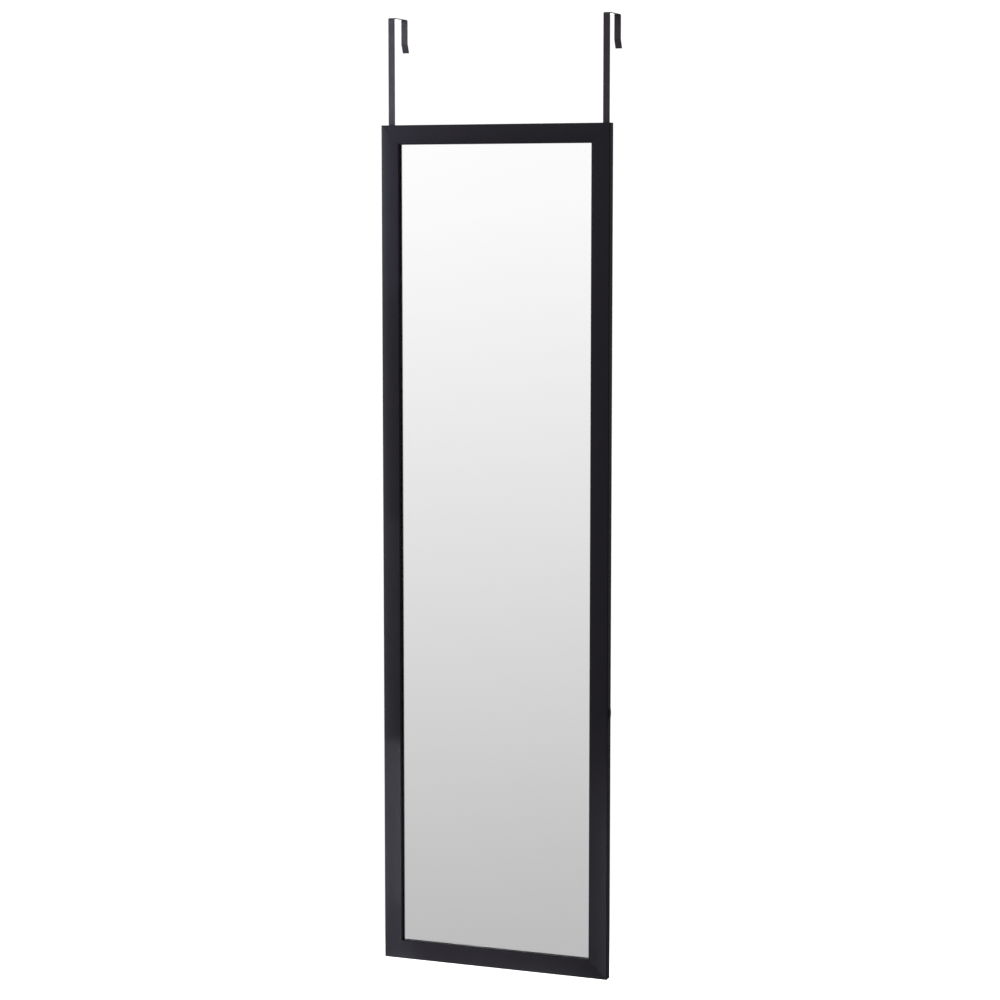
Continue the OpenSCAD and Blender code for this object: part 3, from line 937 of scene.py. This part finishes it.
def buildBumper(side):
    low, high = boxInMm("door_bumper_" + side)
    radius = (high.x - low.x) / 2
    height = high.y - low.y
    foot = radius - bumper["bevel"]
    bm = bmesh.new()
    spinProfile(bm, [(0, 0), (radius, 0), (radius, height - bumper["bevel"]), (foot, height), (0, height)],
                bumper["spinSteps"])
    bevelEdges(bm, sharpEdges(bm, 30), bumper["softening"], 3)
    place = Matrix.Translation(((low.x + high.x) / 2, low.y, (low.z + high.z) / 2))
    makePiece(side + "Bumper", bm, [rubberSkin], "mirror", "door_bumper_" + side,
              place @ toTheDoor)


# Side plugs

plug = {
    "rise": 0.7,         # of the arched head over its height
    "edge": 0.3,         # thickness of the head at its two ends
    "stem": 6.0,
    "softening": 0.25,
    "arcSteps": 20,
    "stemSteps": 32,
}


def buildPlug(side):
    # modelled on the left and mirrored: a head arched along its height, on a round stem
    low, high = boxInMm("side_plug_left")
    edgeX = frameLeft
    middleY = (low.y + high.y) / 2
    middleZ = (low.z + high.z) / 2
    halfHeight = (high.z - low.z) / 2
    rise = plug["rise"]
    arcRadius = (halfHeight ** 2 + rise ** 2) / (2 * rise)
    bm = bmesh.new()
    start = bm.verts.new((edgeX - plug["edge"], low.y, middleZ - halfHeight))
    arc = bmesh.ops.spin(bm, geom=[start], cent=(low.x + arcRadius, low.y, middleZ), axis=(0, 1, 0),
                         angle=2 * math.asin(halfHeight / arcRadius), steps=plug["arcSteps"])
    last = vertsOf(arc["geom_last"])[0]
    for z in (middleZ + halfHeight, middleZ - halfHeight):
        corner = bm.verts.new((edgeX, low.y, z))
        bm.edges.new((last, corner))
        last = corner
    bm.edges.new((last, start))
    bmesh.ops.contextual_create(bm, geom=bm.edges)
    swept = bmesh.ops.extrude_face_region(bm, geom=list(bm.faces))["geom"]
    bmesh.ops.translate(bm, vec=(0, high.y - low.y, 0), verts=vertsOf(swept))
    outerEdges = [e for e in sharpEdges(bm, 40) if min(v.co.x for v in e.verts) < edgeX - tiny]
    bevelEdges(bm, outerEdges, plug["softening"], 3)
    stem = bmesh.ops.create_cone(bm, cap_ends=True, segments=plug["stemSteps"], radius1=plug["stem"] / 2,
                                 radius2=plug["stem"] / 2, depth=high.x - edgeX)["verts"]
    stemMiddle = Matrix.Translation(((edgeX + high.x) / 2, middleY, middleZ))
    bmesh.ops.transform(bm, matrix=stemMiddle @ Matrix.Rotation(quarterTurn, 4, "Y"), verts=stem)
    makePiece(side + "Plug", bm, [plugSkin], "mirror", "side_plug_" + side,
              toTheRight if side == "right" else None)


for side in ("left", "right"):
    buildBumper(side)
    buildPlug(side)
print("bumpers and plugs are in")


# What closes the back: the CAD shapes of the points and the board, with softened edges

backing = {
    "pointArris": 0.12,
    "boardArris": 0.3,
}


def buildPoints():
    bm = nodeCopy("board_points")
    bevelEdges(bm, sharpEdges(bm, 30), backing["pointArris"], 2)
    makePiece("boardPoints", bm, [steelSkin], "mirror", "board_points")


def buildBoard():
    bm = nodeCopy("back_board")
    bevelEdges(bm, sharpEdges(bm, 30), backing["boardArris"], 2)
    makePiece("backBoard", bm, [hardboard()], "mirror", "back_board")


buildPoints()
buildBoard()
dress("mirror_silvering", backingPaint())
dress("cushion_sheet", corrugatedCard())
dress("corner_v_nails", steelSkin)
print("back is closed")
